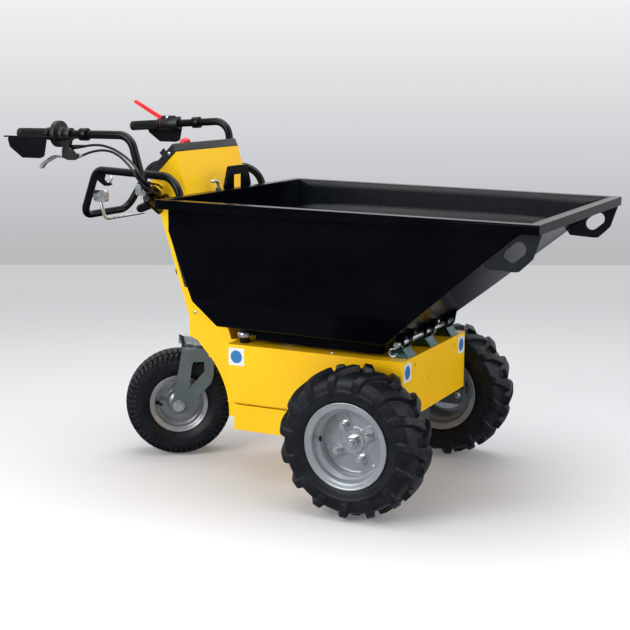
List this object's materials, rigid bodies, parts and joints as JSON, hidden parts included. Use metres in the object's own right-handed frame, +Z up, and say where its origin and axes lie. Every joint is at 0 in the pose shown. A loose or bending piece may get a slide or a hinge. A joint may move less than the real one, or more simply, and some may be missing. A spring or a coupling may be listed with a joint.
{
  "type": "site dumper",
  "caption": "Pedestrian-controlled electric site dumper with two driven wheels, a rear castor and a steel tub that tips forward.",
  "frame": {"origin": "on the ground under the middle of the overall length and width", "axes": "+X forward, the way the tub tips; +Y to the machine's left; +Z up"},
  "size_m": [1.6238, 0.8278, 1.068],
  "materials": {
    "yellow_paint": "gloss",
    "tub_black": "gloss",
    "black_paint": "satin",
    "zinc": "zinc plated",
    "bracket_zinc": "zinc plated",
    "rim_silver": "satin",
    "fork_grey": "satin",
    "tyre_rubber": "moulded",
    "soft_rubber": "moulded",
    "red_plastic": "gloss",
    "black_plastic": "textured",
    "dark_steel": "painted",
    "battery_case": "moulded"
  },
  "bodies": {
    "chassis": {"chassis_cover": "yellow_paint", "chassis_frame": "yellow_paint", "lower_pan": "yellow_paint", "battery_block": "battery_case", "drive_axle": "dark_steel", "column_shell": "yellow_paint", "console_lid": "black_plastic", "emergency_stop": "red_plastic", "key_switch": "black_plastic", "charging_dome": "black_plastic", "castor_bearing": "zinc", "castor_mount": "yellow_paint", "hinge_rod": "zinc", "hinge_brackets": "bracket_zinc", "tub_buffers": "soft_rubber", "handlebar_right": "black_paint", "handlebar_left": "black_paint", "grip_right": "soft_rubber", "grip_left": "soft_rubber", "guard_loop": "black_paint", "bar_socket_right": "black_paint", "bar_socket_left": "black_paint", "throttle_control": "black_plastic", "brake_lever": "black_paint", "dead_man_lever": "red_plastic", "hand_guard_right": "black_paint", "hand_guard_left": "black_paint", "release_bail": "zinc", "bail_clamps": "zinc", "catch_strip": "dark_steel", "control_cables": "soft_rubber"},
    "tub": {"tub_shell": "tub_black", "tub_rim": "tub_black", "tub_ears": "tub_black", "lift_plate": "tub_black", "hinge_lugs": "tub_black", "tub_runners": "tub_black"},
    "castor_fork": {"castor_fork": "fork_grey", "castor_axle": "zinc"},
    "castor_wheel": {"castor_tyre": "tyre_rubber", "castor_rim": "rim_silver"},
    "wheel_right": {"tyre_right": "tyre_rubber", "rim_right": "rim_silver", "hub_right": "zinc"},
    "wheel_left": {"tyre_left": "tyre_rubber", "rim_left": "rim_silver", "hub_left": "zinc"}
  },
  "joints": [
    {"name": "tub_tip", "type": "hinge", "parent": "chassis", "child": "tub", "pos_m": [0.3741, 0, 0.444], "axis": [0, 1, 0], "range_deg": [0, 80]},
    {"name": "castor_swivel", "type": "hinge", "parent": "chassis", "child": "castor_fork", "pos_m": [-0.3689, 0, 0.337], "axis": [0, 0, 1], "continuous": true},
    {"name": "castor_spin", "type": "hinge", "parent": "castor_fork", "child": "castor_wheel", "pos_m": [-0.42657, -0.03603, 0.162], "axis": [-0.5299, 0.848, 0], "continuous": true},
    {"name": "wheel_right_spin", "type": "hinge", "parent": "chassis", "child": "wheel_right", "pos_m": [0.3121, -0.332, 0.205], "axis": [0, 1, 0], "continuous": true},
    {"name": "wheel_left_spin", "type": "hinge", "parent": "chassis", "child": "wheel_left", "pos_m": [0.3121, 0.332, 0.205], "axis": [0, 1, 0], "continuous": true}
  ]
}
